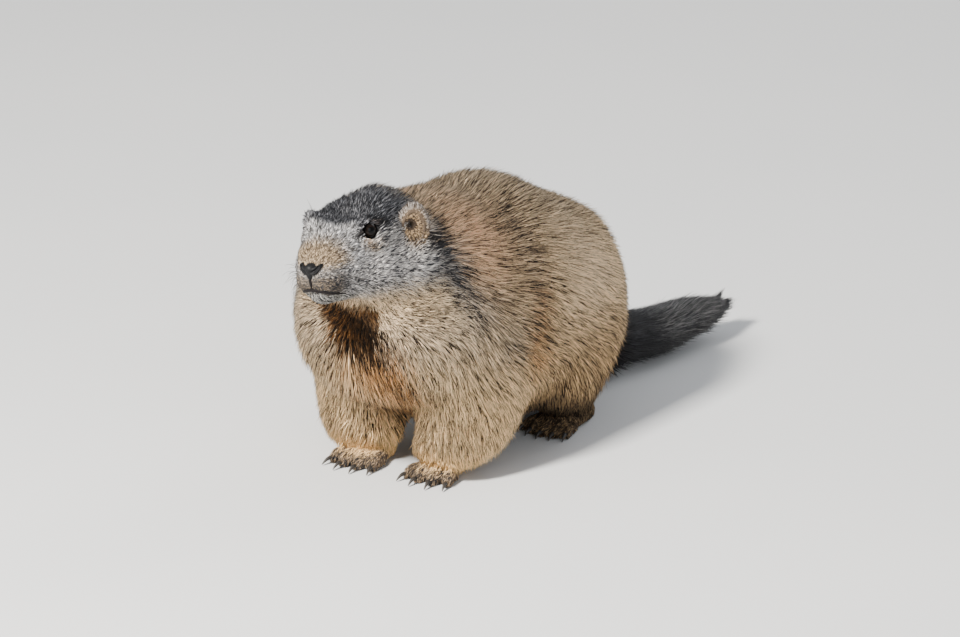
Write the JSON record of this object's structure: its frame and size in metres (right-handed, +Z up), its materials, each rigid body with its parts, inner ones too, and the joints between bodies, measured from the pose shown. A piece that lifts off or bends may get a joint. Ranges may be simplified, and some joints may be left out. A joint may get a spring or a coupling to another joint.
{
  "type": "alpine marmot model",
  "caption": "Still life-size alpine marmot standing low on all fours, head up, with bushy tail, for use as a museum-style display animal.",
  "frame": {"origin": "on the floor, in the middle of the animal's bounding box", "axes": "+Z up, the animal faces -Y with its tail along +Y, +X is the animal's left"},
  "size_m": [0.202, 0.5712, 0.2475],
  "materials": {
    "coat": "dense straw and dark brown fur",
    "coat_grey": "short grizzled grey fur",
    "coat_dark": "long near-black fur",
    "paw_fur": "short ochre fur with dark claws",
    "nose_skin": "damp black skin",
    "eye": "wet near-black eye"
  },
  "bodies": {
    "root": {"torso": "coat", "neck": "coat", "head": "coat_grey", "nose": "nose_skin", "eye_left": "eye", "eye_right": "eye", "ear_left": "coat_grey", "ear_right": "coat_grey", "foreleg_left": "coat", "foreleg_right": "coat", "forepaw_left": "paw_fur", "forepaw_right": "paw_fur", "hindleg_left": "coat", "hindleg_right": "coat", "hindpaw_left": "paw_fur", "hindpaw_right": "paw_fur", "tail": "coat_dark"}
  },
  "joints": []
}
